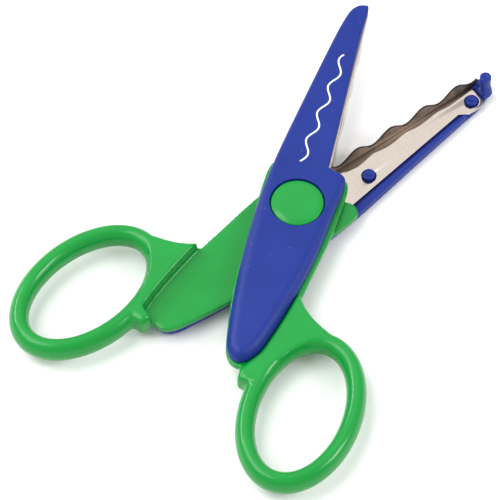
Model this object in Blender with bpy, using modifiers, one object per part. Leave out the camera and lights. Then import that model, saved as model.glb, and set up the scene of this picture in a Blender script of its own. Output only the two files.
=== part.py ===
"""Decorative edge craft scissors: two halves that are the same mouldings turned over, joined by a rivet.

Each half is modelled lying on its outer face: +Y runs from the pivot to the tip, the cutting side is
-X and +Z rises from the outer face to the middle plane. A point of an outline is written (u, v): u is
the distance along the blade from the pivot, v the distance towards the cutting side.
"""
import math

import bmesh
import bpy
from mathutils import Matrix, Vector
from mathutils.geometry import interpolate_bezier

MM = 0.001

# Whole object, in millimetres and degrees
THICKNESS = 12.4
HALF_OPEN = 20.6
HALF_CLOSED = 5.2
SEAT_GAP = 0.3
RUNNING_GAP = 0.3

# Covers
COVER_FLOOR = 1.3
COVER_WALL = 1.5
ROOT_STEP = 0.1
COVER_ROUND = 2.6
BLADE_SIDE_ROUND = 1.1
COVER_END = 52.2
COVER_TIP = 72.0
COVER_HALF_WIDTH = 11.6
CUT_LINE = 6.2
SHOULDER_U = 12.0
SHOULDER_REACH = 11.7
SPINE_WIDTH = 9.0
SPINE_RIM = 2.45
PLUG_SETBACK = 2.5

# Steel blades
STEEL = 0.6
PLATE_SEAT = 1.75
BLADE_SETBACK = 4.4
ROOT_RADIUS = 6.6
WAVE_PITCH = 12.0
WAVE_HEIGHT = 1.55
WAVE_CREST = 26.2
CUT_GAP = 0.3

# Blade pins and the post at the tip
PIN_RADIUS = 1.85
PIN_PLAY = 0.35
PIN_RISE = 0.95
TAB_WALL = 0.9
PLATE_SETBACK = 1.0
INNER_PIN = (25.5, -0.2)
OUTER_PIN_BACK = {"rear": 7.0, "front": 11.0}
OUTER_PIN_V = {"rear": 2.4, "front": 3.1}
PLATE_CORNER_V = {"rear": 0.6, "front": 2.2}
RIM_END_BACK = 11.6
DIMPLE_RADIUS = 0.75
DIMPLE_DEPTH = 0.4
POST_RADIUS = 1.7
POST_BACK = 2.0
POST_GAP = 1.6

# Handles
FLANGE = 2.15
BODY_END = 53.0
BODY_HALF_WIDTH = 12.1
RING_BEHIND = 9.0
RING_ASIDE = 14.0
RING_LENGTH = 22.3
RING_WIDTH = 14.0
RING_TURN = 7.3
RIM_WIDTH = 5.6
RIM_HEIGHT = 7.5
NECK_ROUND = 1.6
STOP_LENGTH = 4.0

# Pivot
CAP_RADIUS = 7.45
CAP_SKIN = 0.9
CAP_FLAT = 4.6
CAP_DROP = 0.45
CAP_GAP = 0.25
RIVET_RADIUS = 2.5
RIVET_LEDGE = 2.1
RIVET_HEAD = 0.6
RIVET_PLAY = 0.08

# Shared places worked out from the sizes above
MIDDLE = THICKNESS / 2
BODY_TOP = MIDDLE - RUNNING_GAP / 2
FLANGE_BASE = BODY_TOP - FLANGE
COVER_HEIGHT = FLANGE_BASE - SEAT_GAP
PLATE_TOP = PLATE_SEAT + SEAT_GAP + STEEL
WALL_OUTER = CUT_LINE + STEEL
BLADE_START = SHOULDER_U + BLADE_SETBACK
BLADE_END = COVER_TIP - POST_BACK
PLUG_FRONT = SHOULDER_U - PLUG_SETBACK
POST_U = COVER_TIP - POST_BACK
OUTER_PINS = {side: (COVER_TIP - OUTER_PIN_BACK[side], OUTER_PIN_V[side]) for side in ("rear", "front")}
RIM_END = COVER_TIP - RIM_END_BACK
RING_CENTRE = (-BODY_END - RING_BEHIND, RING_ASIDE)
RIVET_HEAD_RADIUS = RIVET_RADIUS + RIVET_LEDGE
HEAD_BASE = PLATE_SEAT - RIVET_HEAD
SEAM = 0.002
SMOOTH_STEPS = 5
ROUND_SIDES = 48
FAR = 200.0

GREEN = (0.045, 0.52, 0.11, 1.0)
BLUE = (0.028, 0.075, 0.42, 1.0)
STEEL_TAN = (0.56, 0.49, 0.43, 1.0)
RIVET_STEEL = (0.6, 0.6, 0.6, 1.0)


# ---------- outlines ----------

def xy(point):
    """Turns (u, v) into the half's own X and Y."""
    return (-point[1], point[0])


def smooth_loop(points):
    """A closed outline through points; one that carries a third value is a sharp corner."""
    count = len(points)
    places = [Vector((point[0], point[1], 0.0)) for point in points]
    sharp = [len(point) > 2 for point in points]
    tangents = []
    for index in range(count):
        before = places[index - 1]
        after = places[(index + 1) % count]
        tangents.append((after - before).normalized())
    loop = []
    for index in range(count):
        following = (index + 1) % count
        start = places[index]
        end = places[following]
        if sharp[index] and sharp[following]:
            loop.append(start)
            continue
        reach = (end - start).length / 3
        leave = (end - start) / 3 if sharp[index] else tangents[index] * reach
        arrive = (end - start) / 3 if sharp[following] else tangents[following] * reach
        curve = interpolate_bezier(start, start + leave, end - arrive, end, SMOOTH_STEPS + 1)
        loop.extend(curve[:-1])
    return [(place.x, place.y) for place in loop]


def offset_loop(loop, distance):
    """Moves a closed outline outwards by distance, or inwards where it is negative."""
    area = sum(a[0] * b[1] - b[0] * a[1] for a, b in zip(loop, loop[1:] + loop[:1]))
    side = 1 if area > 0 else -1
    moved = []
    for index, here in enumerate(loop):
        before = Vector(loop[index - 1])
        after = Vector(loop[(index + 1) % len(loop)])
        here = Vector(here)
        first = (here - before).normalized()
        second = (after - here).normalized()
        normal = Vector((first.y + second.y, -first.x - second.x)).normalized() * side
        spread = max(normal.dot(Vector((first.y, -first.x)) * side), 0.5)
        moved.append(tuple(here + normal * distance / spread))
    return moved


def clip_front(loop, limit):
    """Keeps the part of a closed outline that lies behind u = limit."""
    kept = []
    for here, after in zip(loop, loop[1:] + loop[:1]):
        if here[0] <= limit:
            kept.append(here)
        if (here[0] - limit) * (after[0] - limit) < 0:
            share = (limit - here[0]) / (after[0] - here[0])
            kept.append((limit, here[1] + share * (after[1] - here[1])))
    return kept


def circle_loop(centre, radius, sides=ROUND_SIDES):
    angles = [2 * math.pi * index / sides for index in range(sides)]
    return [(centre[0] + radius * math.cos(a), centre[1] + radius * math.sin(a)) for a in angles]


def turn_over(point, opening):
    """Where a point of one half lies, seen in the other half's outline, at a half opening in degrees."""
    angle = math.radians(2 * opening)
    u = point[0] * math.cos(angle) + point[1] * math.sin(angle)
    v = point[0] * math.sin(angle) - point[1] * math.cos(angle)
    return (u, v)


def cover_outline(side):
    """The edge of a cover. The two covers differ only at the nose, where the rear one carries the post."""
    tip = COVER_TIP
    front = SHOULDER_U
    reach = SHOULDER_REACH
    end = -COVER_END
    width = COVER_HALF_WIDTH
    if side == "rear":
        nose = [(tip, 4.6), (tip - 0.8, 6.9), (tip - 2.4, 7.4), (tip - 4.4, 7.1), (tip - 5.7, CUT_LINE, True)]
        back = [(tip - 13.0, -1.4), (tip - 6.5, -0.4), (tip - 3.0, 0.9), (tip - 0.6, 2.4)]
    else:
        nose = [(tip - 0.9, 5.0), (tip - 1.1, 6.2), (tip - 2.6, 6.65), (tip - 6.0, 6.6),
                (tip - 12.0, CUT_LINE, True)]
        back = [(tip - 13.0, -1.0), (tip - 7.0, 0.4), (tip - 3.5, 1.6), (tip - 1.5, 3.3)]
    shoulder = [(front + 1.3, CUT_LINE, True), (front + 0.9, reach - 4.1), (front + 0.4, reach - 2.2),
                (front - 0.6, reach - 0.6), (front - 2.0, reach), (front - 5.0, reach - 0.2)]
    inner = [(0.0, reach - 1.2), (0.31 * end, reach - 3.4), (0.61 * end, reach - 7.1),
             (0.84 * end, reach - 10.7), (end + 3.2, -1.3)]
    heel = [(end, -5.4), (end + 2.4, -9.1)]
    outer = [(0.82 * end, 1.2 - width), (0.6 * end, 0.3 - width), (0.33 * end, -width),
             (0.0, 0.7 - width), (front + 3.0, -SPINE_WIDTH), (0.5 * tip, -5.3)]
    return smooth_loop(nose + shoulder + inner + heel + outer + back)


def body_outline():
    """The edge of the flange that closes the cover."""
    front = SHOULDER_U
    reach = SHOULDER_REACH
    end = -BODY_END
    width = BODY_HALF_WIDTH
    return smooth_loop([
        (front + 0.9, 2.0), (front + 0.9, reach - 3.7), (front + 0.2, reach - 0.3),
        (front - 1.8, reach + 0.8), (front - 7.0, reach + 0.7), (-3.0, reach - 0.1),
        (0.23 * end, reach - 1.6), (0.38 * end, reach - 3.2), (0.53 * end, reach - 4.7),
        (0.72 * end, reach - 7.3), (0.87 * end, reach - 10.0), (end + 1.4, -1.7), (end, -5.4),
        (end + 1.6, -8.5), (0.89 * end, 2.0 - width), (0.58 * end, 0.2 - width), (0.38 * end, -width),
        (0.09 * end, 0.5 - width), (front - 4.0, 0.9 - width), (front + 1.6, 1.9 - width),
        (front + 2.6, 3.7 - width), (front + 2.5, 5.8 - width), (front + 1.5, 7.2 - width),
        (front + 0.9, 9.2 - width)])


def pocket_spine(u):
    """The inner face of the cover's rim beside the blade plate."""
    start = SHOULDER_U + 4.0
    rise = SPINE_WIDTH - SPINE_RIM - 0.1
    return SPINE_RIM - SPINE_WIDTH + rise * (u - start) / (RIM_END - start)


def plate_outline(side):
    """The flat of the blade, from its round root at the pivot to the tab at the outer pin."""
    spine = SEAT_GAP + PLATE_SETBACK
    pin = OUTER_PINS[side]
    edge = pin[1] - PIN_RADIUS - PIN_PLAY - TAB_WALL
    root = [(ROOT_RADIUS * math.cos(math.radians(a)), ROOT_RADIUS * math.sin(math.radians(a)))
            for a in range(75, 286, 15)]
    broad = SHOULDER_U + 4.0
    narrow = RIM_END - 1.4
    wide = [(broad, pocket_spine(broad) + spine), (narrow, pocket_spine(narrow) + spine)]
    end = POST_U - POST_RADIUS - SEAT_GAP
    tip = [(RIM_END + 1.2, edge + 0.1), (pin[0] + 1.2, edge), (end, PLATE_CORNER_V[side]),
           (end, WALL_OUTER), (BLADE_START, WALL_OUTER)]
    return root + wide + tip


def neck_outline():
    """The web that joins body and ring, with the stop block on its closing side."""
    end = -BODY_END
    inner = [ring_point(angle) for angle in (0, -30, -55, -78)]
    top = inner[0]
    root = [(end + 29.0, 3.0), (end + 25.5, 6.4), (end + 22.0, 8.9), (end + 19.2, 11.6),
            (end + 17.1, 14.4), (top[0] + 1.9, top[1] + 0.4)]
    far = end - STOP_LENGTH
    near = end - 0.6
    stop = [(far - 0.8, -0.8), (far, stop_face(far), True), (near, stop_face(near), True)]
    return smooth_loop(root + inner + stop + [(end + 2.4, -3.0), (end + 13.0, -1.0)])


def stop_face(u):
    """The face that meets the other half's stop when the scissors are closed."""
    angle = math.radians(HALF_CLOSED)
    return u * math.tan(angle) + SEAT_GAP / 2 / math.cos(angle)


def ring_point(angle):
    """A point of the ring's centre line, from its end nearest the pivot."""
    turn = math.radians(RING_TURN)
    along = RING_LENGTH * math.cos(math.radians(angle))
    across = RING_WIDTH * math.sin(math.radians(angle))
    u = RING_CENTRE[0] + along * math.cos(turn) - across * math.sin(turn)
    v = RING_CENTRE[1] + along * math.sin(turn) + across * math.cos(turn)
    return (u, v)


def shoulder_outline():
    """The room that the other half's body sweeps, from closed outwards."""
    swept = [turn_over(point, HALF_CLOSED) for point in offset_loop(body_outline(), SEAT_GAP)]
    reach = max(math.hypot(*point) for point in swept if point[0] < 0)
    edge = [point for point in swept if point[1] > point[0] * 0.1 and point[0] > -COVER_END]
    edge.sort(key=lambda point: -point[0])
    last = math.degrees(math.atan2(-edge[-1][1], -edge[-1][0]))
    arc = []
    for step in range(10):
        angle = math.radians(last + 1.5 + step * 6.0)
        arc.append((-reach * math.cos(angle), -reach * math.sin(angle)))
    return edge + arc


# ---------- making solids ----------

def empty(name, matrix):
    frame = bpy.data.objects.new(name, None)
    frame.matrix_world = matrix
    bpy.context.scene.collection.objects.link(frame)
    return frame


def mesh_from_curve(curve, name):
    """Turns a curve into one closed mesh object and removes the curve."""
    source = bpy.data.objects.new(name + "_curve", curve)
    bpy.context.scene.collection.objects.link(source)
    bpy.context.view_layer.update()
    evaluated = source.evaluated_get(bpy.context.evaluated_depsgraph_get())
    mesh = bpy.data.meshes.new_from_object(evaluated)
    mesh.name = name
    work = bmesh.new()
    work.from_mesh(mesh)
    bmesh.ops.remove_doubles(work, verts=work.verts, dist=1e-6)
    bmesh.ops.dissolve_limit(work, angle_limit=1e-4, verts=work.verts, edges=work.edges)
    bmesh.ops.recalc_face_normals(work, faces=work.faces)
    work.to_mesh(mesh)
    work.free()
    solid = bpy.data.objects.new(name, mesh)
    solid.matrix_world = source.matrix_world.copy()
    bpy.data.objects.remove(source)
    return solid


def slab(name, loops, base, top):
    """A flat outline, or an outline with holes in it, raised from base to top."""
    curve = bpy.data.curves.new(name, "CURVE")
    curve.dimensions = "2D"
    curve.fill_mode = "BOTH"
    curve.extrude = (top - base) / 2 * MM
    for loop in loops:
        spline = curve.splines.new("POLY")
        spline.points.add(len(loop) - 1)
        for point, place in zip(spline.points, loop):
            x, y = xy(place)
            point.co = (x * MM, y * MM, 0.0, 1.0)
        spline.use_cyclic_u = True
    solid = mesh_from_curve(curve, name)
    solid.data.transform(Matrix.Translation((0.0, 0.0, (base + top) / 2 * MM)))
    return solid


def rim_edges(work, height):
    """The edges where a slab's flat face at one height meets its sides."""
    rim = []
    for edge in work.edges:
        level = all(abs(vert.co.z - height * MM) < 1e-7 for vert in edge.verts)
        if level and len(edge.link_faces) == 2 and edge.calc_face_angle(0.0) > 1.0:
            rim.append(edge)
    return rim


def round_rim(solid, height, radius, segments=3):
    """Rounds the rim of a slab at one height."""
    work = bmesh.new()
    work.from_mesh(solid.data)
    bmesh.ops.bevel(work, geom=rim_edges(work, height), affect="EDGES", offset=radius * MM,
                    segments=segments, profile=0.5, clamp_overlap=True)
    bmesh.ops.remove_doubles(work, verts=work.verts, dist=1e-6)
    work.to_mesh(solid.data)
    work.free()


def round_cover(solid):
    """Rounds a cover's outer rim: broadly behind the pivot, narrowly on the spine, not along the cut."""
    work = bmesh.new()
    work.from_mesh(solid.data)
    weight = work.edges.layers.float.new("bevel_weight_edge")
    narrow = BLADE_SIDE_ROUND / COVER_ROUND
    for edge in rim_edges(work, 0.0):
        middle = (edge.verts[0].co + edge.verts[1].co) / 2 / MM
        share = min(max((SHOULDER_U - middle.y) / (2 * SHOULDER_U), 0.0), 1.0)
        cutting_side = middle.y > SHOULDER_U + 1.0 and -middle.x > CUT_LINE - 0.1
        edge[weight] = 0.0 if cutting_side else narrow + (1.0 - narrow) * share
    work.to_mesh(solid.data)
    work.free()
    rounding = solid.modifiers.new("Rim", "BEVEL")
    rounding.limit_method = "WEIGHT"
    rounding.width = COVER_ROUND * MM
    rounding.segments = 4


def turned(name, profile):
    """A solid turned about Z from (radius, height) pairs, listed from top to bottom."""
    mesh = bpy.data.meshes.new(name)
    work = bmesh.new()
    verts = [work.verts.new((radius * MM, 0.0, height * MM)) for radius, height in profile]
    for first, second in zip(verts, verts[1:]):
        work.edges.new((first, second))
    work.to_mesh(mesh)
    work.free()
    solid = bpy.data.objects.new(name, mesh)
    screw = solid.modifiers.new("Turn", "SCREW")
    screw.steps = ROUND_SIDES
    screw.render_steps = ROUND_SIDES
    screw.use_merge_vertices = True
    screw.merge_threshold = 1e-6
    return solid


def cylinder(name, place, radius, base, top):
    mesh = bpy.data.meshes.new(name)
    work = bmesh.new()
    bmesh.ops.create_cone(work, cap_ends=True, segments=ROUND_SIDES // 2, radius1=radius * MM,
                          radius2=radius * MM, depth=(top - base) * MM)
    work.to_mesh(mesh)
    work.free()
    x, y = xy(place)
    mesh.transform(Matrix.Translation((x * MM, y * MM, (base + top) / 2 * MM)))
    return bpy.data.objects.new(name, mesh)


def combine(target, tool, operation):
    """Adds a live Boolean; the tool goes with the cutters."""
    change = target.modifiers.new(tool.name, "BOOLEAN")
    change.operation = operation
    change.solver = "EXACT"
    change.object = tool
    tool.hide_render = True
    tool.display_type = "WIRE"
    cutters.objects.link(tool)


def cut(target, tool):
    combine(target, tool, "DIFFERENCE")


def join(target, tool):
    combine(target, tool, "UNION")


def material(name, colour, roughness, metallic=0.0):
    finish = bpy.data.materials.new(name)
    finish.use_nodes = True
    shader = finish.node_tree.nodes["Principled BSDF"]
    shader.inputs["Base Color"].default_value = colour
    shader.inputs["Roughness"].default_value = roughness
    shader.inputs["Metallic"].default_value = metallic
    return finish


def place(solid, half, finish):
    """Puts a finished solid and its cutters on its half."""
    parts.objects.link(solid)
    solid.parent = half
    solid.data.materials.append(finish)
    solid.data.shade_smooth()
    solid.data.set_sharp_from_angle(angle=math.radians(35))
    for change in solid.modifiers:
        if change.type == "BOOLEAN":
            change.object.parent = half


# ---------- the pieces of one half ----------

def make_cover(side):
    """The outer shell: floor, rim and two blade pins, with a post on the rear one that blunts the tip."""
    outline = cover_outline(side)
    name = side + "_cover"
    cover = slab(name, [outline], 0.0, COVER_HEIGHT)
    round_cover(cover)
    over = COVER_HEIGHT + 1.0
    cut(cover, cylinder(name + "_cap_hole", (0, 0), CAP_RADIUS + CAP_GAP, -1.0, over))
    behind_blade = clip_front(offset_loop(outline, ROOT_STEP - COVER_WALL), PLUG_FRONT + SEAT_GAP)
    cut(cover, slab(name + "_root_pocket", [behind_blade], PLATE_SEAT, over))
    behind_root = clip_front(offset_loop(outline, -COVER_WALL), -ROOT_RADIUS - 1.0)
    cut(cover, slab(name + "_handle_pocket", [behind_root], COVER_FLOOR, over - 0.5))
    cut(cover, slab(name + "_blade_pocket", [blade_pocket()], PLATE_SEAT, over + 0.5))
    pin_top = PLATE_TOP + PIN_RISE
    add_pin(cover, name + "_inner_pin", INNER_PIN, PIN_RADIUS, pin_top)
    add_pin(cover, name + "_outer_pin", OUTER_PINS[side], PIN_RADIUS, pin_top)
    if side == "rear":
        add_pin(cover, name + "_post", post_place(), POST_RADIUS, THICKNESS - PLATE_SEAT - SEAT_GAP)
    close_seams(cover)
    return cover


def blade_pocket():
    """The room for the blade, open along the cutting side and closed by the nose."""
    back = PLUG_FRONT - 4.0
    shoulder = PLUG_FRONT + 1.6
    plate_end = POST_U - POST_RADIUS
    wall_end = BLADE_END + SEAT_GAP
    wall_side = CUT_LINE - SEAT_GAP
    return [(back, CUT_LINE), (back, WALL_OUTER + 2.0), (shoulder, WALL_OUTER + 2.0),
            (SHOULDER_U + 0.2, WALL_OUTER + 0.2), (SHOULDER_U + 0.8, FAR), (wall_end, FAR),
            (wall_end, wall_side), (plate_end, wall_side), (plate_end, -FAR), (RIM_END + 0.6, -FAR),
            (RIM_END, pocket_spine(RIM_END)), (back, pocket_spine(back))]


def close_seams(solid):
    """Merges vertices that the cuts left within a hair of each other."""
    weld = solid.modifiers.new("Seams", "WELD")
    weld.merge_threshold = SEAM * MM


def add_pin(cover, name, spot, radius, top):
    """A pin that stands on the cover's floor, with a dimple in its top."""
    join(cover, cylinder(name, spot, radius, COVER_FLOOR - 0.3, top))
    cut(cover, cylinder(name + "_dimple", spot, DIMPLE_RADIUS, top - DIMPLE_DEPTH, top + 1.0))


def post_place():
    """The post stands clear of its own blade's wall, and of the other blade when the scissors are closed."""
    angle = math.radians(2 * HALF_CLOSED)
    needed = WALL_OUTER + POST_RADIUS + POST_GAP
    clear_of_other = (POST_U * math.sin(angle) - needed) / math.cos(angle)
    clear_of_own = CUT_LINE - SEAT_GAP - POST_RADIUS - POST_GAP
    return (POST_U, min(clear_of_other, clear_of_own))


def wave(u, phase):
    """Height of the wavy cutting edge above the half's outer face."""
    turn = 2 * math.pi * (u - WAVE_CREST) / WAVE_PITCH
    return MIDDLE - CUT_GAP / 2 + phase * WAVE_HEIGHT * math.cos(turn)


def make_blade(side, phase):
    """A steel plate whose cutting side is bent up into a wall with a wavy top edge."""
    name = side + "_blade"
    holes = [circle_loop((0, 0), RIVET_RADIUS + 2 * RIVET_PLAY)]
    holes += [circle_loop(spot, PIN_RADIUS + PIN_PLAY, 24) for spot in (INNER_PIN, OUTER_PINS[side])]
    blade = slab(name, [plate_outline(side)] + holes, PLATE_TOP - STEEL, PLATE_TOP)
    steps = 72
    span = BLADE_END - BLADE_START
    crest = [(BLADE_START + span * step / steps) for step in range(steps + 1)]
    curve = bpy.data.curves.new(name + "_wall", "CURVE")
    curve.dimensions = "2D"
    curve.fill_mode = "BOTH"
    curve.extrude = STEEL / 2 * MM
    spline = curve.splines.new("POLY")
    corners = [(u, wave(u, phase)) for u in crest]
    corners += [(BLADE_END, PLATE_TOP + 0.6), (BLADE_END - 2.0, PLATE_TOP - STEEL),
                (BLADE_START, PLATE_TOP - STEEL)]
    spline.points.add(len(corners) - 1)
    for point, (u, height) in zip(spline.points, corners):
        point.co = (u * MM, height * MM, 0.0, 1.0)
    spline.use_cyclic_u = True
    wall = mesh_from_curve(curve, name + "_wall")
    stand = Matrix(((0, 0, 1, -(CUT_LINE + STEEL / 2) * MM), (1, 0, 0, 0), (0, 1, 0, 0), (0, 0, 0, 1)))
    wall.data.transform(stand)
    join(blade, wall)
    return blade


def make_ring(name):
    """The finger ring: an oval bar whose section is taller than it is wide."""
    curve = bpy.data.curves.new(name, "CURVE")
    curve.dimensions = "3D"
    curve.bevel_depth = RIM_WIDTH / 2 * MM
    curve.bevel_resolution = 3
    spline = curve.splines.new("POLY")
    spline.points.add(ROUND_SIDES - 1)
    for index, point in enumerate(spline.points):
        x, y = xy(ring_point(360 * index / ROUND_SIDES))
        point.co = (x * MM, y * MM, 0.0, 1.0)
    spline.use_cyclic_u = True
    ring = mesh_from_curve(curve, name)
    ring.data.transform(Matrix.Diagonal((1.0, 1.0, RIM_HEIGHT / RIM_WIDTH, 1.0)))
    ring.data.transform(Matrix.Translation((0.0, 0.0, MIDDLE * MM)))
    return ring


def make_handle(side):
    """The green half: a body that fills the cover, a neck, a finger ring and the closing stop."""
    name = side + "_handle"
    low = MIDDLE - RIM_HEIGHT / 2
    high = MIDDLE + RIM_HEIGHT / 2
    handle = slab(name, [neck_outline()], low, high)
    round_rim(handle, low, NECK_ROUND, 2)
    round_rim(handle, high, NECK_ROUND, 2)
    join(handle, make_ring(name + "_ring"))
    outline = cover_outline(side)
    cut(handle, slab(name + "_cover_room", [offset_loop(outline, SEAT_GAP)], -1.0, FLANGE_BASE))
    cut(handle, slab(name + "_sweep_room", [shoulder_outline()], BODY_TOP, THICKNESS + 1.0))
    join(handle, slab(name + "_flange", [body_outline()], FLANGE_BASE, BODY_TOP))
    inside = offset_loop(outline, -COVER_WALL - SEAT_GAP)
    plug = clip_front(inside, PLUG_FRONT)
    join(handle, slab(name + "_plug", [plug], COVER_FLOOR + SEAT_GAP, FLANGE_BASE + 0.5))
    root_room = [(-ROOT_RADIUS - 2.5, -FAR), (-ROOT_RADIUS - 2.5, FAR), (FAR, FAR), (FAR, -FAR)]
    cut(handle, slab(name + "_root_room", [root_room], -1.0, PLATE_TOP + SEAT_GAP))
    cut(handle, cylinder(name + "_rivet_hole", (0, 0), RIVET_RADIUS + RIVET_PLAY, -1.0, THICKNESS))
    return handle


def make_cap(side):
    """The round cap over the rivet's head, flat in the middle and falling away to its edge."""
    hollow = RIVET_HEAD_RADIUS + SEAT_GAP + 0.5
    return turned(side + "_pivot_cap", [
        (0.0, CAP_SKIN), (hollow, CAP_SKIN), (hollow, PLATE_SEAT), (CAP_RADIUS, PLATE_SEAT),
        (CAP_RADIUS, CAP_DROP + 0.3), (CAP_RADIUS - 0.3, CAP_DROP), (6.2, CAP_DROP * 0.4),
        (5.4, CAP_DROP * 0.12), (CAP_FLAT, 0.0), (0.0, 0.0)])


# ---------- the pivot ----------

def make_rivet():
    """The rivet that joins the halves: a made head at the rear and a formed head at the front."""
    rear = HEAD_BASE
    front = THICKNESS - HEAD_BASE
    head = RIVET_HEAD_RADIUS
    return turned("pivot_rivet", [
        (0.0, front), (head - 0.8, front), (head - 0.3, front - 0.25),
        (head - 0.3, front - RIVET_HEAD), (RIVET_RADIUS, front - RIVET_HEAD),
        (RIVET_RADIUS, rear + RIVET_HEAD), (head, rear + RIVET_HEAD),
        (head, rear + 0.25), (head - 0.5, rear), (0.0, rear)])


# ---------- the object ----------

def clear_scene():
    for item in list(bpy.data.objects):
        bpy.data.objects.remove(item, do_unlink=True)


clear_scene()
parts = bpy.data.collections.new("decorative_edge_scissors")
cutters = bpy.data.collections.new("cutters")
bpy.context.scene.collection.children.link(parts)
bpy.context.scene.collection.children.link(cutters)

green = material("green_plastic", GREEN, 0.25)
blue = material("blue_plastic", BLUE, 0.45)
steel = material("blade_steel", STEEL_TAN, 0.3, 1.0)
plain_steel = material("rivet_steel", RIVET_STEEL, 0.35, 1.0)

open_angle = math.radians(HALF_OPEN)
turned_over = Matrix.Translation((0.0, 0.0, THICKNESS * MM)) @ Matrix.Rotation(math.pi, 4, "Y")
rear_half = empty("rear_half", Matrix.Rotation(-open_angle, 4, "Z"))
front_half = empty("front_half", Matrix.Rotation(open_angle, 4, "Z") @ turned_over)

for side, half, phase in (("rear", rear_half, 1), ("front", front_half, -1)):
    place(make_cover(side), half, blue)
    place(make_handle(side), half, green)
    place(make_blade(side, phase), half, steel)
    place(make_cap(side), half, green)
place(make_rivet(), rear_half, plain_steel)
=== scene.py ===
import math

import bmesh
import bpy
from mathutils import Matrix, Vector
from mathutils.geometry import interpolate_bezier


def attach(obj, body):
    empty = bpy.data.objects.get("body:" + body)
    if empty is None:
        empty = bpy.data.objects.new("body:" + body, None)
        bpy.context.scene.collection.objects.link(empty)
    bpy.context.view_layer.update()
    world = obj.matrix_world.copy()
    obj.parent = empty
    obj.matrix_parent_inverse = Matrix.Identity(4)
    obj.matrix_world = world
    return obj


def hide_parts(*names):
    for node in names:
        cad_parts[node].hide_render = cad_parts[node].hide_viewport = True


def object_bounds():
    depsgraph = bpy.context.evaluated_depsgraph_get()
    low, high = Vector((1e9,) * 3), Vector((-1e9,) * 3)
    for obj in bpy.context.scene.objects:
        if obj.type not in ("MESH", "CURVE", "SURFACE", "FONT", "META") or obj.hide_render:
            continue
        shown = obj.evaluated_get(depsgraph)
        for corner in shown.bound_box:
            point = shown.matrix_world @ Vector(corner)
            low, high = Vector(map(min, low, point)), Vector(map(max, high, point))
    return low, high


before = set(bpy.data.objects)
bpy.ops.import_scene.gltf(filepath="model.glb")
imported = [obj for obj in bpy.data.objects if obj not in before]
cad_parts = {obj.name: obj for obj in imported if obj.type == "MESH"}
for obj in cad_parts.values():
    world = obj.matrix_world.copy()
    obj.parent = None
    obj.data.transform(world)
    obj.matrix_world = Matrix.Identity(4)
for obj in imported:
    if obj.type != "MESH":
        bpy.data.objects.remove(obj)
cad_low, cad_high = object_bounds()

# Sizes in millimetres and degrees, close to the CAD's. A point of an outline is (u, v): u runs from the
# pivot to the tip and v towards the cutting side, on a half that lies on its outer face.
MM = 0.001
THICKNESS = (cad_high.z - cad_low.z) / MM
HALF_OPEN = 20.6
HALF_CLOSED = 5.2
SEAT_GAP = 0.3
RUNNING_GAP = 0.3
MIDDLE = THICKNESS / 2
BODY_TOP = MIDDLE - RUNNING_GAP / 2
FLANGE = 2.15
FLANGE_BASE = BODY_TOP - FLANGE

# Covers
COVER_FLOOR = 1.3
COVER_HEIGHT = FLANGE_BASE - SEAT_GAP
COVER_WALL = 1.5
COVER_ROUND = 3.2
SPINE_ROUND_SHARE = 0.34
COVER_END = 52.2
COVER_TIP = 72.0
COVER_HALF_WIDTH = 11.6
COVER_VOXEL = 0.27
CUT_LINE = 6.2
SHOULDER_U = 12.0
SHOULDER_REACH = 11.7
SPINE_WIDTH = 9.0
SPINE_RIM = 2.45
PLUG_FRONT = SHOULDER_U - 2.5

# Blades
STEEL = 0.6
PLATE_BASE = 2.05
PLATE_TOP = PLATE_BASE + STEEL
PLATE_SEAT = PLATE_BASE - SEAT_GAP
PLATE_SETBACK = 1.0
BLADE_START = SHOULDER_U + 4.4
BLADE_END = COVER_TIP - 2.0
ROOT_RADIUS = 6.6
WAVE_PITCH = 12.0
WAVE_HEIGHT = 1.55
WAVE_CREST = 26.2
WAVE_STEPS = 130
CUT_GAP = 0.3
OUTER_BEND = 0.55
INNER_BEND = 0.2
EDGE_BREAK = 0.05

# Pins and post
INNER_PIN = (25.5, -0.2)
OUTER_PINS = {"rear": (COVER_TIP - 7.0, 2.4), "front": (COVER_TIP - 11.0, 3.1)}
PLATE_CORNER_V = {"rear": 0.6, "front": 2.2}
RIM_END = COVER_TIP - 11.6
PIN_RADIUS = 1.85
PIN_HOLE = 2.2
PIN_TOP = 3.6
TAB_WALL = 0.9
DIMPLE_SHARE = 0.42
DIMPLE_DEPTH = 0.45
POST_RADIUS = 1.7
POST_GAP = 1.6
POST_PLACE = (COVER_TIP - 2.0, CUT_LINE - POST_GAP - POST_RADIUS)
FOOT_RADIUS = 2.5
FOOT_HEIGHT = 4.0

# Handles
BODY_END = 53.0
BODY_HALF_WIDTH = 12.1
STOP_LENGTH = 4.0
RING_CENTRE = (-BODY_END - 9.0, 14.0)
RING_LENGTH = 22.3
RING_WIDTH = 14.0
RING_TURN = 7.3
RIM_WIDTH = 5.6
RIM_HEIGHT = 7.5
NECK_ROUND = 1.7
HANDLE_VOXEL = 0.34

# Pivot
CAP_RADIUS = 7.45
CAP_GAP = 0.25
CAP_FLAT = 4.6
CAP_SKIN = 0.9
CAP_DROP = 0.4
CAP_EDGE = 0.45
RIVET_HOLE = 2.58
FAR = 200.0

HALVES = {
    "rear": Matrix.Rotation(math.radians(-HALF_OPEN), 4, "Z"),
    "front": (Matrix.Rotation(math.radians(HALF_OPEN), 4, "Z")
              @ Matrix.Translation((0.0, 0.0, THICKNESS * MM)) @ Matrix.Rotation(math.pi, 4, "Y")),
}


# ---------- shader maths ----------

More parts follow.
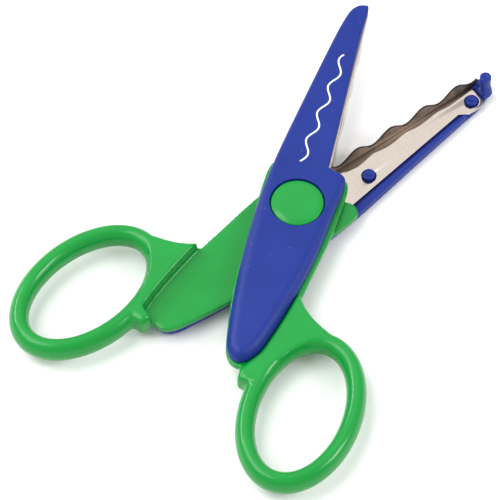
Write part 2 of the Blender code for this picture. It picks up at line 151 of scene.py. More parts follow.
class Value:
    """A node's output. Arithmetic on it adds Math nodes to the same finish."""

    def __init__(self, finish, socket):
        self.finish = finish
        self.socket = socket

    def maths(self, operation, *others, clamp=False):
        sockets = dict(enumerate((self,) + others))
        return self.finish.node("ShaderNodeMath", {"operation": operation, "use_clamp": clamp}, sockets)

    def other(self, name):
        return Value(self.finish, self.socket.node.outputs[name])

    def __add__(self, other):
        return self.maths("ADD", other)

    def __radd__(self, other):
        return self.maths("ADD", other)

    def __sub__(self, other):
        return self.maths("SUBTRACT", other)

    def __rsub__(self, other):
        return self.finish.node("ShaderNodeMath", {"operation": "SUBTRACT"}, {0: other, 1: self})

    def __mul__(self, other):
        return self.maths("MULTIPLY", other)

    def __rmul__(self, other):
        return self.maths("MULTIPLY", other)

    def __truediv__(self, other):
        return self.maths("DIVIDE", other)

    def sine(self):
        return self.maths("SINE")

    def size(self):
        return self.maths("ABSOLUTE")

    def clamped(self):
        return self.maths("ADD", 0.0, clamp=True)

    def over(self, limit, softness):
        """0 below limit and 1 above it, with a soft step that wide."""
        return ((self - limit) / softness + 0.5).clamped()


class Finish:
    """A node material built by expressions."""

    def __init__(self, name, **constants):
        self.material = bpy.data.materials.new(name)
        self.material.use_nodes = True
        self.tree = self.material.node_tree
        self.shader = self.tree.nodes["Principled BSDF"]
        for socket, value in constants.items():
            self.shader.inputs[socket.replace("_", " ")].default_value = value

    def node(self, kind, settings, sockets, output=0):
        made = self.tree.nodes.new(kind)
        for name, value in settings.items():
            setattr(made, name, value)
        for name, value in sockets.items():
            if isinstance(value, Value):
                self.tree.links.new(value.socket, made.inputs[name])
            else:
                made.inputs[name].default_value = value
        return Value(self, made.outputs[output])

    def place(self, turn=0.0, scale=(1.0, 1.0, 1.0), shift=(0.0, 0.0, 0.0)):
        """Object coordinates in millimetres, turned about Z, then stretched and shifted."""
        spot = self.node("ShaderNodeTexCoord", {}, {}, "Object")
        turned = self.node("ShaderNodeMapping", {}, {
            "Vector": spot, "Rotation": (0.0, 0.0, math.radians(turn)), "Scale": (1000.0,) * 3,
            "Location": shift})
        return self.node("ShaderNodeMapping", {}, {"Vector": turned, "Scale": scale})

    def noise(self, spot, scale, detail=2.0, roughness=0.5):
        return self.node("ShaderNodeTexNoise", {}, {
            "Vector": spot, "Scale": scale, "Detail": detail, "Roughness": roughness})

    def blend(self, amount, first, second):
        """A colour between two colours, or linked colours."""
        return self.node("ShaderNodeMix", {"data_type": "RGBA"}, {0: amount, 6: first, 7: second}, 2)

    def bump(self, height, strength, distance):
        return self.node("ShaderNodeBump", {}, {
            "Height": height, "Strength": strength, "Distance": distance * MM})

    def feed(self, **links):
        for socket, value in links.items():
            self.tree.links.new(value.socket, self.shader.inputs[socket.replace("_", " ")])
        return self.material


def green_plastic():
    """Glossy moulded plastic: faint flow shades, a slight ripple and hair-fine scuffs in the gloss."""
    finish = Finish("green_plastic", IOR=1.5, Specular_IOR_Level=0.3, Coat_Roughness=0.06, Coat_Weight=0.12)
    spot = finish.place()
    flow = finish.noise(spot, 0.055, 3.0)
    scuff = finish.noise(finish.place(35.0, (1.0, 0.12, 1.0)), 1.6, 4.0, 0.65)
    ripple = finish.noise(spot, 0.16, 2.0)
    colour = finish.blend(flow.over(0.5, 0.5), (0.002, 0.235, 0.028, 1.0), (0.005, 0.28, 0.042, 1.0))
    return finish.feed(
        Base_Color=colour,
        Roughness=0.17 + 0.12 * scuff.over(0.56, 0.3),
        Normal=finish.bump(ripple + 0.02 * finish.noise(spot, 2.6, 3.0), 0.35, 0.12))


def blue_plastic(name, printed=False):
    """Satin moulded plastic with a fine texture, a few pale specks and, on one cover, the printed wave."""
    finish = Finish(name, IOR=1.48, Specular_IOR_Level=0.3)
    spot = finish.place()
    grain = finish.noise(spot, 3.2, 3.0, 0.6)
    flow = finish.noise(spot, 0.07, 3.0)
    cells = finish.node("ShaderNodeTexVoronoi", {"feature": "F1"}, {"Vector": spot, "Scale": 0.62})
    rare = finish.node("ShaderNodeSeparateColor", {}, {0: cells.other("Color")}, 0).over(0.86, 0.02)
    speck = (1.0 - cells.over(0.11, 0.08)) * rare
    colour = finish.blend(flow.over(0.5, 0.5), (0.003, 0.018, 0.19, 1.0), (0.006, 0.025, 0.22, 1.0))
    colour = finish.blend(speck * 0.35, colour, (0.2, 0.26, 0.52, 1.0))
    rough = 0.4 + 0.12 * grain.over(0.5, 0.4)
    height = grain * 0.5 + speck * 0.3
    if printed:
        print_mark = wave_print(finish)
        colour = finish.blend(print_mark, colour, (0.86, 0.86, 0.84, 1.0))
        height = height * (1.0 - 0.8 * print_mark) + 0.6 * print_mark
    return finish.feed(Base_Color=colour, Roughness=rough, Normal=finish.bump(height, 0.5, 0.03))


PRINT_START = (52.0, 3.03)
PRINT_SLANT = 7.05
PRINT_LENGTH = 38.9
PRINT_PITCH = 9.72
PRINT_SWING = 1.03
PRINT_PHASE = 3.378
PRINT_WIDTH = 0.46


def wave_print(finish):
    """1 on the white wavy line that shows the cut, on the outward face of the front cover."""
    slant = math.radians(PRINT_SLANT)
    along = PRINT_START[0] * math.cos(slant) + PRINT_START[1] * math.sin(slant)
    across = PRINT_START[0] * math.sin(slant) - PRINT_START[1] * math.cos(slant)
    spot = finish.place(90.0 - HALF_OPEN + PRINT_SLANT, shift=(along, across, 0.0))
    axes = finish.node("ShaderNodeSeparateXYZ", {}, {0: spot})
    travel = axes * (2 * math.pi / PRINT_PITCH) + PRINT_PHASE
    slope = travel.maths("COSINE") * (PRINT_SWING * 2 * math.pi / PRINT_PITCH)
    lean = (slope * slope + 1.0).maths("SQRT")
    stray = (axes.other("Y") - travel.sine() * PRINT_SWING).size() / lean
    line = 1.0 - stray.over(PRINT_WIDTH / 2, 0.1)
    inside = axes.over(0.0, 0.15) * (1.0 - axes.over(PRINT_LENGTH, 0.15))
    return line * inside * axes.other("Z").over(THICKNESS - 0.5, 0.1)


def blade_steel(side):
    """Bright sheet steel: fine lines square to the cutting edge, brighter and duller in patches."""
    finish = Finish("blade_steel_" + side, Metallic=1.0)
    turn = HALF_OPEN if side == "rear" else -HALF_OPEN
    lines = finish.noise(finish.place(turn, (0.05, 1.0, 0.05)), 4.5, 4.0, 0.7)
    broad = finish.noise(finish.place(turn, (0.2, 1.0, 0.2)), 0.35, 2.0)
    patch = finish.noise(finish.place(), 0.12, 3.0)
    colour = finish.blend(lines.over(0.5, 0.5), (0.53, 0.46, 0.40, 1.0), (0.66, 0.585, 0.52, 1.0))
    colour = finish.blend(patch.over(0.55, 0.4) * 0.35, colour, (0.56, 0.51, 0.46, 1.0))
    return finish.feed(
        Base_Color=colour,
        Roughness=0.06 + 0.05 * lines.over(0.5, 0.5) + 0.03 * patch.over(0.5, 0.5),
        Normal=finish.bump(lines + broad, 0.2, 0.006))


def painted_shade_wall_steel(side):
    """The ground wall of the cut, with close lines that run up it: a duller, much darker and browner copy of
    the blade steel, partly its rougher finish and partly painted shade, where the wall stands in shadow and
    mirrors the dark surroundings.
    """
    finish = Finish("painted_shade_wall_steel_" + side, Metallic=1.0)
    turn = HALF_OPEN if side == "rear" else -HALF_OPEN
    lines = finish.noise(finish.place(turn, (0.4, 1.0, 0.06)), 3.4, 4.0, 0.7)
    # Dark brown base colour: painted shade on the wall's inner side.
    colour = finish.blend(lines.over(0.5, 0.4), (0.13, 0.095, 0.075, 1.0), (0.21, 0.165, 0.135, 1.0))
    return finish.feed(
        Base_Color=colour,
        Roughness=0.42 + 0.12 * lines,
        Normal=finish.bump(lines, 0.35, 0.03))


def painted_shade_steel(side):
    """Painted shade: near-black, blotched steel in the crease of the bend, standing in for the shadow and
    dark reflection in the fold, and on the lip of the wave, painted as in shadow.
    """
    finish = Finish("painted_shade_steel_" + side, Metallic=1.0)
    stain = finish.noise(finish.place(), 1.4, 3.0)
    colour = finish.blend(stain.over(0.5, 0.5), (0.025, 0.020, 0.018, 1.0), (0.07, 0.055, 0.045, 1.0))
    return finish.feed(Base_Color=colour, Roughness=0.5 + 0.15 * stain, Normal=finish.bump(stain, 0.2, 0.03))


def rivet_steel():
    """Plated steel with a fine drawn grain."""
    finish = Finish("rivet_steel", Metallic=1.0)
    grain = finish.noise(finish.place(), 2.4, 4.0)
    colour = finish.blend(grain.over(0.5, 0.5), (0.50, 0.50, 0.50, 1.0), (0.64, 0.63, 0.61, 1.0))
    return finish.feed(Base_Color=colour, Roughness=0.28 + 0.1 * grain, Normal=finish.bump(grain, 0.2, 0.02))


def floor_card():
    """Plain pale studio card with a very faint tooth."""
    finish = Finish("floor_card", Roughness=0.85)
    tooth = finish.noise(finish.place(), 0.8, 3.0)
    colour = finish.blend(tooth.over(0.5, 0.6), (0.90, 0.90, 0.90, 1.0), (0.93, 0.93, 0.93, 1.0))
    return finish.feed(Base_Color=colour)


# ---------- outlines ----------

def smooth_loop(points, steps=5):
    """A closed outline through points; one that carries a third value is a sharp corner."""
    places = [Vector((point[0], point[1], 0.0)) for point in points]
    sharp = [len(point) > 2 for point in points]
    count = len(points)
    tangents = [(places[(i + 1) % count] - places[i - 1]).normalized() for i in range(count)]
    loop = []
    for index in range(count):
        following = (index + 1) % count
        start = places[index]
        end = places[following]
        if sharp[index] and sharp[following]:
            loop.append((start.x, start.y))
            continue
        reach = (end - start).length / 3
        leave = (end - start) / 3 if sharp[index] else tangents[index] * reach
        arrive = (end - start) / 3 if sharp[following] else tangents[following] * reach
        curve = interpolate_bezier(start, start + leave, end - arrive, end, steps + 1)
        loop.extend((spot.x, spot.y) for spot in curve[:-1])
    return loop


def offset_loop(loop, distance):
    """Moves a closed outline outwards by distance, or inwards where it is negative."""
    area = sum(a[0] * b[1] - b[0] * a[1] for a, b in zip(loop, loop[1:] + loop[:1]))
    side = 1 if area > 0 else -1
    moved = []
    for index, here in enumerate(loop):
        here = Vector(here)
        first = (here - Vector(loop[index - 1])).normalized()
        second = (Vector(loop[(index + 1) % len(loop)]) - here).normalized()
        normal = Vector((first.y + second.y, -first.x - second.x)).normalized() * side
        spread = max(normal.dot(Vector((first.y, -first.x)) * side), 0.5)
        moved.append(tuple(here + normal * distance / spread))
    return moved


def clip_front(loop, limit):
    """Keeps the part of a closed outline that lies behind u = limit."""
    kept = []
    for here, after in zip(loop, loop[1:] + loop[:1]):
        if here[0] <= limit:
            kept.append(here)
        if (here[0] - limit) * (after[0] - limit) < 0:
            share = (limit - here[0]) / (after[0] - here[0])
            kept.append((limit, here[1] + share * (after[1] - here[1])))
    return kept


def turn_over(point, opening):
    """Where a point of one half lies, seen in the other half's outline."""
    angle = math.radians(2 * opening)
    return (point[0] * math.cos(angle) + point[1] * math.sin(angle),
            point[0] * math.sin(angle) - point[1] * math.cos(angle))


def ring_point(angle):
    """A point of the ring's centre line, from its end nearest the pivot."""
    turn = math.radians(RING_TURN)
    along = RING_LENGTH * math.cos(math.radians(angle))
    across = RING_WIDTH * math.sin(math.radians(angle))
    return (RING_CENTRE[0] + along * math.cos(turn) - across * math.sin(turn),
            RING_CENTRE[1] + along * math.sin(turn) + across * math.cos(turn))


def pocket_spine(u):
    """The inner face of the cover's rim beside the blade plate."""
    start = SHOULDER_U + 4.0
    rise = SPINE_WIDTH - SPINE_RIM - 0.1
    return SPINE_RIM - SPINE_WIDTH + rise * (u - start) / (RIM_END - start)


def stop_face(u):
    """How far the stop block reaches, so that both blocks meet with a seat gap when closed."""
    angle = math.radians(HALF_CLOSED)
    return u * math.tan(angle) + SEAT_GAP / 2 / math.cos(angle)


def cover_outline(side):
    """The edge of a cover. The two covers differ only at the nose, where the rear one carries the post."""
    tip = COVER_TIP
    front = SHOULDER_U
    reach = SHOULDER_REACH
    end = -COVER_END
    width = COVER_HALF_WIDTH
    if side == "rear":
        nose = [(tip, 4.6), (tip - 0.8, 6.9), (tip - 2.4, 7.4), (tip - 4.4, 7.1), (tip - 5.7, CUT_LINE, True)]
        back = [(tip - 13.0, -1.4), (tip - 6.5, -0.4), (tip - 3.0, 0.9), (tip - 0.6, 2.4)]
    else:
        nose = [(tip - 0.9, 5.0), (tip - 1.1, 6.2), (tip - 2.6, 6.65), (tip - 6.0, 6.6),
                (tip - 12.0, CUT_LINE, True)]
        back = [(tip - 13.0, -1.0), (tip - 7.0, 0.4), (tip - 3.5, 1.6), (tip - 1.5, 3.3)]
    shoulder = [(front + 1.3, CUT_LINE, True), (front + 0.9, reach - 4.1), (front + 0.4, reach - 2.2),
                (front - 0.6, reach - 0.6), (front - 2.0, reach), (front - 5.0, reach - 0.2)]
    inner = [(0.0, reach - 1.2), (0.31 * end, reach - 3.4), (0.61 * end, reach - 7.1),
             (0.84 * end, reach - 10.7), (end + 3.2, -1.3)]
    heel = [(end, -5.4), (end + 2.4, -9.1)]
    outer = [(0.82 * end, 1.2 - width), (0.6 * end, 0.3 - width), (0.33 * end, -width),
             (0.0, 0.7 - width), (front + 3.0, -SPINE_WIDTH), (0.5 * tip, -5.3)]
    return smooth_loop(nose + shoulder + inner + heel + outer + back)


def body_outline():
    """The edge of the flange that closes the cover."""
    front = SHOULDER_U
    reach = SHOULDER_REACH
    end = -BODY_END
    width = BODY_HALF_WIDTH
    return smooth_loop([
        (front + 0.9, 2.0), (front + 0.9, reach - 3.7), (front + 0.2, reach - 0.3),
        (front - 1.8, reach + 0.8), (front - 7.0, reach + 0.7), (-3.0, reach - 0.1),
        (0.23 * end, reach - 1.6), (0.38 * end, reach - 3.2), (0.53 * end, reach - 4.7),
        (0.72 * end, reach - 7.3), (0.87 * end, reach - 10.0), (end + 1.4, -1.7), (end, -5.4),
        (end + 1.6, -8.5), (0.89 * end, 2.0 - width), (0.58 * end, 0.2 - width), (0.38 * end, -width),
        (0.09 * end, 0.5 - width), (front - 4.0, 0.9 - width), (front + 1.6, 1.9 - width),
        (front + 2.6, 3.7 - width), (front + 2.5, 5.8 - width), (front + 1.5, 7.2 - width),
        (front + 0.9, 9.2 - width)])


def neck_outline():
    """The web that joins body and ring, with the stop block on its closing side."""
    end = -BODY_END
    inner = [ring_point(angle) for angle in (0, -30, -55, -78)]
    top = inner[0]
    root = [(end + 29.0, 3.0), (end + 25.5, 6.4), (end + 22.0, 8.9), (end + 19.2, 11.6),
            (end + 17.1, 14.4), (top[0] + 1.9, top[1] + 0.4)]
    far = end - STOP_LENGTH
    near = end - 0.6
    stop = [(far - 0.8, -0.8), (far, stop_face(far), True), (near, stop_face(near), True)]
    return smooth_loop(root + inner + stop + [(end + 2.4, -3.0), (end + 13.0, -1.0)])


COVERS = {side: cover_outline(side) for side in ("rear", "front")}
BODY = body_outline()
NECK = neck_outline()


def shoulder_loop():
    """The room that the other half's body sweeps, from closed outwards."""
    swept = [turn_over(point, HALF_CLOSED) for point in offset_loop(BODY, SEAT_GAP)]
    reach = max(math.hypot(*point) for point in swept if point[0] < 0)
    edge = [point for point in swept if point[1] > point[0] * 0.1 and point[0] > 2.2 - BODY_END]
    edge.sort(key=lambda point: -point[0])
    last = math.degrees(math.atan2(-edge[-1][1], -edge[-1][0]))
    arc = [math.radians(last + 1.5 + step * 3.0) for step in range(19)]
    return edge + [(-reach * math.cos(angle), -reach * math.sin(angle)) for angle in arc]


# ---------- making shapes ----------

def slab(loop, base, top):
    """A flat outline raised from base to top."""
    work = bmesh.new()
    rim = [work.verts.new((-v * MM, u * MM, base * MM)) for u, v in loop]
    face = work.faces.new(rim)
    grown = bmesh.ops.extrude_face_region(work, geom=[face])
    raised = [item for item in grown["geom"] if isinstance(item, bmesh.types.BMVert)]
    bmesh.ops.translate(work, verts=raised, vec=(0.0, 0.0, (top - base) * MM))
    bmesh.ops.recalc_face_normals(work, faces=work.faces)
    return work


def cylinder(place, radius, base, top, sides=64):
    """An upright cylinder at (u, v), from base to top."""
    work = bmesh.new()
    bmesh.ops.create_cone(work, cap_ends=True, segments=sides, radius1=radius * MM, radius2=radius * MM,
                          depth=(top - base) * MM)
    bmesh.ops.translate(work, verts=work.verts, vec=(-place[1] * MM, place[0] * MM, (base + top) / 2 * MM))
    return work


def turned(profile, steps=128):
    """A solid turned about the pivot from (radius, height) pairs."""
    work = bmesh.new()
    verts = [work.verts.new((radius * MM, 0.0, height * MM)) for radius, height in profile]
    edges = [work.edges.new(pair) for pair in zip(verts, verts[1:])]
    bmesh.ops.spin(work, geom=verts + edges, cent=(0, 0, 0), axis=(0, 0, 1), angle=2 * math.pi,
                   steps=steps, use_merge=True)
    bmesh.ops.remove_doubles(work, verts=work.verts, dist=1e-6)
    bmesh.ops.recalc_face_normals(work, faces=work.faces)
    return work


def rounded_rim(work, height, radius, share=lambda u, v: 1.0, segments=6):
    """Rounds the rim at one height; share says how much of the radius each place of the half gets."""
    layers = work.edges.layers.float
    weight = layers.get("bevel_weight_edge") or layers.new("bevel_weight_edge")
    for edge in work.edges:
        level = all(abs(vert.co.z - height * MM) < 1e-6 for vert in edge.verts)
        middle = (edge.verts[0].co + edge.verts[1].co) / 2 / MM
        edge[weight] = share(middle.y, -middle.x) if level else 0.0
    thing = holder("rim", work)
    curve = thing.modifiers.new("Round", "BEVEL")
    curve.limit_method = "WEIGHT"
    curve.use_clamp_overlap = False
    curve.width = radius * MM
    curve.segments = segments
    return settled(thing)


def holder(name, work):
    """A new object that holds a bmesh, which is freed."""
    mesh = bpy.data.meshes.new(name)
    work.to_mesh(mesh)
    work.free()
    thing = bpy.data.objects.new(name, mesh)
    bpy.context.scene.collection.objects.link(thing)
    return thing


def settled(thing, *tools):
    """The finished shape of an object with its modifiers, as a bmesh; the object and its tools go."""
    bpy.context.view_layer.update()
    shape = bpy.data.meshes.new_from_object(thing.evaluated_get(bpy.context.evaluated_depsgraph_get()))
    work = bmesh.new()
    work.from_mesh(shape)
    bpy.data.meshes.remove(shape)
    for used in (thing,) + tools:
        bpy.data.meshes.remove(used.data)
    return work


def combined(base, steps):
    """A shape with others joined to it or cut from it in turn."""
    thing = holder("shape", base)
    tools = []
    for operation, tool in steps:
        change = thing.modifiers.new("Change", "BOOLEAN")
        change.operation = operation
        change.solver = "MANIFOLD"
        change.object = holder("tool", tool)
        change.object.hide_render = True
        tools.append(change.object)
    return settled(thing, *tools)


def together(shapes, voxel):
    """Closed shapes that overlap, covered by one skin of fine even faces."""
    work = bmesh.new()
    for shape in shapes:
        mesh = bpy.data.meshes.new("shape")
        shape.to_mesh(mesh)
        shape.free()
        work.from_mesh(mesh)
        bpy.data.meshes.remove(mesh)
    thing = holder("skin", work)
    even = thing.modifiers.new("Even", "REMESH")
    even.mode = "VOXEL"
    even.voxel_size = voxel * MM
    return settled(thing)


def soften(work, times, wanted=lambda u, v, z: True):
    """Relaxes the vertices that wanted picks, so that moulded edges and joins turn soft."""
    chosen = [vert for vert in work.verts
              if wanted(vert.co.y / MM, -vert.co.x / MM, vert.co.z / MM)]
    for _ in range(times):
        bmesh.ops.smooth_vert(work, verts=chosen, factor=0.5, use_axis_x=True, use_axis_y=True,
                              use_axis_z=True)


def finished(name, work, side, material, node):
    """Puts a shape on its half, gives it its finish and lets it ride on its body for a CAD node."""
    bmesh.ops.transform(work, matrix=HALVES[side], verts=work.verts)
    bmesh.ops.recalc_face_normals(work, faces=work.faces)
    piece = holder(name, work)
    piece.data.materials.append(material)
    piece.data.shade_smooth()
    piece.data.set_sharp_from_angle(angle=math.radians(40))
    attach(piece, side + "_half")
    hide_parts(node)
    return piece


# ---------- the pieces ----------

def ring():
    """The finger ring: an oval bar with the same section all the way round."""
    work = bmesh.new()
    made = bmesh.ops.create_circle(work, segments=40, radius=RIM_WIDTH / 2 * MM)
    bmesh.ops.rotate(work, verts=made["verts"], matrix=Matrix.Rotation(math.pi / 2, 3, "X"))
    bmesh.ops.translate(work, verts=made["verts"], vec=(RING_LENGTH * MM, 0.0, 0.0))
    bmesh.ops.spin(work, geom=work.verts[:] + work.edges[:], cent=(0, 0, 0), axis=(0, 0, 1),
                   angle=2 * math.pi, steps=180, use_merge=True)
    for vert in work.verts:
        angle = math.atan2(vert.co.y, vert.co.x)
        beside = math.hypot(vert.co.x, vert.co.y) - RING_LENGTH * MM
        centre = Vector((RING_LENGTH * math.cos(angle), RING_WIDTH * math.sin(angle))) * MM
        outward = Vector((RING_WIDTH * math.cos(angle), RING_LENGTH * math.sin(angle))).normalized()
        spot = centre + outward * beside
        vert.co = (-spot.y, spot.x, vert.co.z * RIM_HEIGHT / RIM_WIDTH)
    bmesh.ops.rotate(work, verts=work.verts, matrix=Matrix.Rotation(math.radians(RING_TURN), 3, "Z"))
    bmesh.ops.translate(work, verts=work.verts,
                        vec=(-RING_CENTRE[1] * MM, RING_CENTRE[0] * MM, MIDDLE * MM))
    bmesh.ops.recalc_face_normals(work, faces=work.faces)
    return work


def handle_zone(u, v, z):
    """All but the side of the flange beside the cover, which stays crisp."""
    return z > BODY_TOP - 0.1 or z < FLANGE_BASE - 0.2 or u < -54.0 or (u < -26.0 and v > 8.5)


def swept_room():
    """What the other half's body needs free above this half's flange."""
    return slab(shoulder_loop(), BODY_TOP, THICKNESS + 1.0)


def make_handle(side, material):
    """Flange, plug, neck, stop block and finger ring, in one moulding."""
    low = MIDDLE - RIM_HEIGHT / 2
    high = MIDDLE + RIM_HEIGHT / 2
    outline = COVERS[side]
    neck = rounded_rim(rounded_rim(slab(NECK, low, high), low, NECK_ROUND), high, NECK_ROUND)
    neck = combined(neck, [
        ("DIFFERENCE", slab(offset_loop(outline, SEAT_GAP), -1.0, FLANGE_BASE)),
        ("DIFFERENCE", swept_room())])
    oval = combined(ring(), [("DIFFERENCE", swept_room())])
    plug = slab(clip_front(offset_loop(outline, -COVER_WALL - SEAT_GAP), PLUG_FRONT),
                COVER_FLOOR + SEAT_GAP, FLANGE_BASE + 0.5)
    behind = -ROOT_RADIUS - 2.5
    root_room = slab([(behind, -FAR), (behind, FAR), (FAR, FAR), (FAR, -FAR)], -1.0, PLATE_TOP + SEAT_GAP)
    body = combined(slab(BODY, FLANGE_BASE, BODY_TOP), [
        ("UNION", plug), ("DIFFERENCE", root_room),
        ("DIFFERENCE", cylinder((0.0, 0.0), RIVET_HOLE, -1.0, THICKNESS))])
    work = together([neck, oval, body], HANDLE_VOXEL)
    soften(work, 3)
    soften(work, 14, handle_zone)
    return finished(side + "_handle_moulding", work, side, material, side + "_handle")


def cover_round(u, v):
    """The cover's rim is broad and round behind the pivot, narrow on the spine and crisp along the cut."""
    share = min(max((SHOULDER_U - u) / (2 * SHOULDER_U), 0.0), 1.0)
    beside_cut = u > SHOULDER_U + 1.0 and v > CUT_LINE - 0.1
    return 0.0 if beside_cut else SPINE_ROUND_SHARE + (1.0 - SPINE_ROUND_SHARE) * share


def dimpled(place, radius, top):
    """A moulded pin or post with a small recess in its top."""
    return combined(cylinder(place, radius, 1.0, top), [
        ("DIFFERENCE", cylinder(place, DIMPLE_SHARE * radius, top - DIMPLE_DEPTH, top + 1.0))])


def post_foot():
    """The sloping foot that carries the post on the nose."""
    foot = bmesh.new()
    bmesh.ops.create_cone(foot, cap_ends=True, segments=64, radius1=FOOT_RADIUS * MM,
                          radius2=POST_RADIUS * MM, depth=FOOT_HEIGHT * MM)
    middle = PLATE_TOP - 0.05 + FOOT_HEIGHT / 2
    bmesh.ops.translate(foot, verts=foot.verts,
                        vec=(-POST_PLACE[1] * MM, POST_PLACE[0] * MM, middle * MM))
    near = POST_PLACE[0] - POST_RADIUS + 0.1
    beside = CUT_LINE - SEAT_GAP
    nose = [(near, -FAR), (FAR, -FAR), (FAR, beside), (near, beside)]
    return combined(foot, [("INTERSECT", slab(nose, 0.0, THICKNESS))])


def make_cover(side, material):
    """The outer shell with its pockets, cap hole and blade pins, and the post on the rear one."""
    outline = COVERS[side]
    shell = rounded_rim(slab(outline, 0.0, COVER_HEIGHT), 0.0, COVER_ROUND, cover_round)
    inside = offset_loop(outline, -COVER_WALL)
    over = COVER_HEIGHT + 1.0
    start = PLUG_FRONT - 4.0
    root_side = CUT_LINE + STEEL + 2.0
    tip = POST_PLACE[0] - POST_RADIUS
    wall_end = BLADE_END + SEAT_GAP
    wall_side = CUT_LINE - SEAT_GAP
    pocket = [(start, CUT_LINE), (start, root_side), (PLUG_FRONT + 1.6, root_side), (SHOULDER_U + 0.2, 7.0),
              (SHOULDER_U + 0.8, FAR), (wall_end, FAR), (wall_end, wall_side), (tip, wall_side), (tip, -FAR),
              (RIM_END + 0.6, -FAR), (RIM_END, pocket_spine(RIM_END)), (start, pocket_spine(start))]
    shell = combined(shell, [
        ("DIFFERENCE", slab(clip_front(inside, -ROOT_RADIUS - 1.0), COVER_FLOOR, over)),
        ("DIFFERENCE", slab(clip_front(inside, PLUG_FRONT + SEAT_GAP), PLATE_SEAT, over)),
        ("DIFFERENCE", slab(pocket, PLATE_SEAT, over)),
        ("DIFFERENCE", cylinder((0.0, 0.0), CAP_RADIUS + CAP_GAP, -1.0, over, 128))])
    shapes = [shell] + [dimpled(spot, PIN_RADIUS, PIN_TOP) for spot in (INNER_PIN, OUTER_PINS[side])]
    if side == "rear":
        shapes.append(dimpled(POST_PLACE, POST_RADIUS, THICKNESS - PLATE_SEAT - SEAT_GAP))
        shapes.append(post_foot())
    work = together(shapes, COVER_VOXEL)
    soften(work, 3)
    return finished(side + "_cover_moulding", work, side, material, side + "_cover")


def wave(u, phase):
    """Height of the wavy cutting edge above the half's outer face."""
    return MIDDLE - CUT_GAP / 2 + phase * WAVE_HEIGHT * math.cos(2 * math.pi * (u - WAVE_CREST) / WAVE_PITCH)


def steel_index(face):
    """0 for bright sheet, 1 for the inner side of the wall, 2 for its lip and the crease at its foot; 1 and 2
    carry painted shade.
    """
    middle = face.calc_center_median()
    raised = middle.z > (PLATE_TOP + 0.3) * MM
    if raised:
        # The wall's outer side keeps the bright sheet; its inner side gets the painted shade copy.
        return 2 if face.normal.z > 0.5 else int(face.normal.x > -0.5)
    crease = abs(middle.x + (CUT_LINE - INNER_BEND / 2) * MM) < INNER_BEND / 2 * MM
    return 2 if crease and face.normal.x > 0.2 else 0


def make_blade(side, phase, material):
    """A steel plate whose cutting side is bent up into a wavy wall; phase is 1, or -1 to flip the wave."""
    outer = CUT_LINE + STEEL
    pin = OUTER_PINS[side]
    spine = pin[1] - PIN_HOLE - TAB_WALL
    end = POST_PLACE[0] - POST_RADIUS - SEAT_GAP
    root = [(ROOT_RADIUS * math.cos(math.radians(a)), ROOT_RADIUS * math.sin(math.radians(a)))
            for a in range(75, 286, 5)]
    setback = SEAT_GAP + PLATE_SETBACK
    plate = root + [(u, pocket_spine(u) + setback) for u in (SHOULDER_U + 4.0, RIM_END - 1.4)] + [
        (RIM_END + 1.2, spine + 0.1), (pin[0] + 1.2, spine), (end, PLATE_CORNER_V[side]), (end, outer),
        (BLADE_START, outer)]
    crest = [BLADE_START + (BLADE_END - BLADE_START) * step / WAVE_STEPS for step in range(WAVE_STEPS + 1)]
    face = [(u, wave(u, phase)) for u in crest] + [
        (BLADE_END, PLATE_TOP + 0.6), (BLADE_END - 2.0, PLATE_BASE), (BLADE_START, PLATE_BASE)]
    wall = bmesh.new()
    rim = [wall.verts.new((-CUT_LINE * MM, u * MM, z * MM)) for u, z in face]
    grown = bmesh.ops.extrude_face_region(wall, geom=[wall.faces.new(rim)])
    moved = [item for item in grown["geom"] if isinstance(item, bmesh.types.BMVert)]
    bmesh.ops.translate(wall, verts=moved, vec=(-STEEL * MM, 0.0, 0.0))
    bmesh.ops.recalc_face_normals(wall, faces=wall.faces)
    steps = [("UNION", wall), ("DIFFERENCE", cylinder((0.0, 0.0), RIVET_HOLE + 0.1, 0.0, 5.0))]
    steps += [("DIFFERENCE", cylinder(spot, PIN_HOLE, 0.0, 5.0)) for spot in (INNER_PIN, pin)]
    work = combined(slab(plate, PLATE_BASE, PLATE_TOP), steps)
    bmesh.ops.dissolve_limit(work, angle_limit=0.002, verts=work.verts, edges=work.edges)
    for line, height, radius in ((outer, PLATE_BASE, OUTER_BEND), (CUT_LINE, PLATE_TOP, INNER_BEND)):
        bend = [edge for edge in work.edges if all(
            abs(vert.co.x + line * MM) < 1e-6 and abs(vert.co.z - height * MM) < 1e-6 for vert in edge.verts)]
        bmesh.ops.bevel(work, geom=bend, affect="EDGES", offset=radius * MM, segments=5, profile=0.5,
                        material=-1)
    edges = [edge for edge in work.edges if edge.is_manifold and edge.calc_face_angle() > 0.9]
    bmesh.ops.bevel(work, geom=edges, affect="EDGES", offset=EDGE_BREAK * MM, segments=2, profile=0.5,
                    material=-1, clamp_overlap=True)
    for face in work.faces:
        face.material_index = steel_index(face)
    blade = finished(side + "_blade_steel", work, side, material, side + "_blade")
    # Painted shade: this darker copy of the steel goes on the wall's inner side.
    blade.data.materials.append(painted_shade_wall_steel(side))
    # Painted shade: this near-black copy of the steel goes on the wall's lip and in the crease of the bend.
    blade.data.materials.append(painted_shade_steel(side))
    return blade


def make_cap(side, material):
    """The round cap over the rivet's head, flat in the middle and falling away to a rounded edge."""
    width = CAP_RADIUS - CAP_EDGE - CAP_FLAT
    fall = [(CAP_FLAT + width * step / 8, CAP_DROP * (step / 8) ** 2) for step in range(9)]
    edge = [(CAP_RADIUS - CAP_EDGE * (1 - math.sin(math.radians(a))),
             CAP_DROP + CAP_EDGE * (1 - math.cos(math.radians(a)))) for a in (15, 30, 45, 60, 75, 90)]
    wall = CAP_FLAT + 0.8
    profile = [(0.0, CAP_SKIN), (wall, CAP_SKIN), (wall, PLATE_SEAT), (CAP_RADIUS, PLATE_SEAT)]
    work = turned(profile + list(reversed(edge)) + list(reversed(fall)) + [(0.0, 0.0)])
    return finished(side + "_cap_moulding", work, side, material, side + "_pivot_cap")


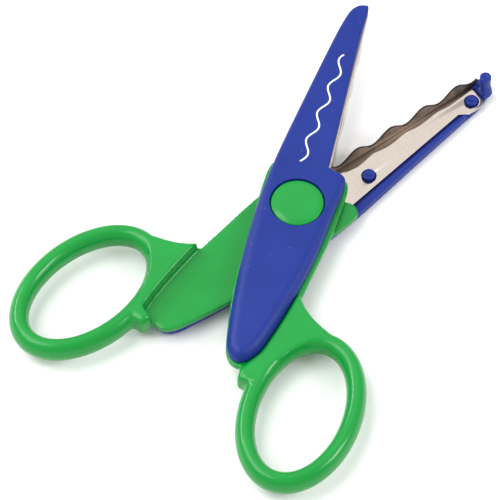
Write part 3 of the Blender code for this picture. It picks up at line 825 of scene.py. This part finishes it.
green = green_plastic()
for side, phase in (("rear", 1), ("front", -1)):
    make_cover(side, blue_plastic(side + "_blue_plastic", printed=side == "front"))
    make_handle(side, green)
    make_blade(side, phase, blade_steel(side))
    make_cap(side, green)
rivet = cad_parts["pivot_rivet"]
rivet.data.materials.clear()
rivet.data.materials.append(rivet_steel())


# ---------- floor, light and camera ----------

# Angles in degrees, distance in metres, target in millimetres
CAMERA_AZIMUTH = 32.86
CAMERA_ELEVATION = 58.36
CAMERA_DISTANCE = 0.866
CAMERA_TARGET = (-6.67, -14.1, 0.0)
CAMERA_LENS = 221.5


def make_floor():
    """The card that the rear cap lies on."""
    work = bmesh.new()
    bmesh.ops.create_grid(work, x_segments=1, y_segments=1, size=3.0)
    bmesh.ops.translate(work, verts=work.verts, vec=(0.0, 0.0, cad_low.z - 0.02 * MM))
    floor = holder("studio_floor", work)
    floor.data.materials.append(floor_card())


def make_light(name, azimuth, elevation, distance, width, height, power):
    """A soft box that faces the object from that side."""
    light = bpy.data.lights.new(name, "AREA")
    light.shape = "RECTANGLE"
    light.size = width
    light.size_y = height
    light.energy = power
    lamp = bpy.data.objects.new(name, light)
    bpy.context.scene.collection.objects.link(lamp)
    towards = direction(azimuth, elevation)
    lamp.matrix_world = (Matrix.Translation(towards * distance)
                         @ towards.to_track_quat("Z", "Y").to_matrix().to_4x4())


def direction(azimuth, elevation):
    """From the object towards a place at that azimuth, where 0 is -Y, and that height."""
    turn = math.radians(azimuth)
    rise = math.radians(elevation)
    return Vector((math.sin(turn) * math.cos(rise), -math.cos(turn) * math.cos(rise), math.sin(rise)))


def make_camera():
    """A long lens, high on the side of the front ring."""
    camera = bpy.data.cameras.new("product_camera")
    camera.lens = CAMERA_LENS
    camera.sensor_width = 36.0
    camera.clip_end = 20.0
    stand = bpy.data.objects.new("product_camera", camera)
    bpy.context.scene.collection.objects.link(stand)
    back = direction(CAMERA_AZIMUTH, CAMERA_ELEVATION)
    target = Vector(CAMERA_TARGET) * MM
    stand.matrix_world = (Matrix.Translation(target + back * CAMERA_DISTANCE)
                          @ back.to_track_quat("Z", "Y").to_matrix().to_4x4())
    bpy.context.scene.camera = stand


def make_world():
    """Even white light from all round."""
    world = bpy.data.worlds.new("studio_air")
    world.use_nodes = True
    sky = world.node_tree.nodes["Background"]
    sky.inputs["Color"].default_value = (1.0, 1.0, 1.0, 1.0)
    sky.inputs["Strength"].default_value = 0.75
    bpy.context.scene.world = world


make_floor()
make_world()
make_light("key_box", azimuth=-55.0, elevation=60.0, distance=0.9, width=0.7, height=0.6, power=5.0)
make_light("side_box", azimuth=110.0, elevation=40.0, distance=0.9, width=0.25, height=0.4, power=3.0)
make_light("back_box", azimuth=270.0, elevation=35.0, distance=1.0, width=0.5, height=0.2, power=3.0)
make_light("sheen_panel", azimuth=212.9, elevation=58.4, distance=1.0, width=0.8, height=0.8, power=1.1)
make_camera()
bpy.context.scene.view_settings.view_transform = "Standard"
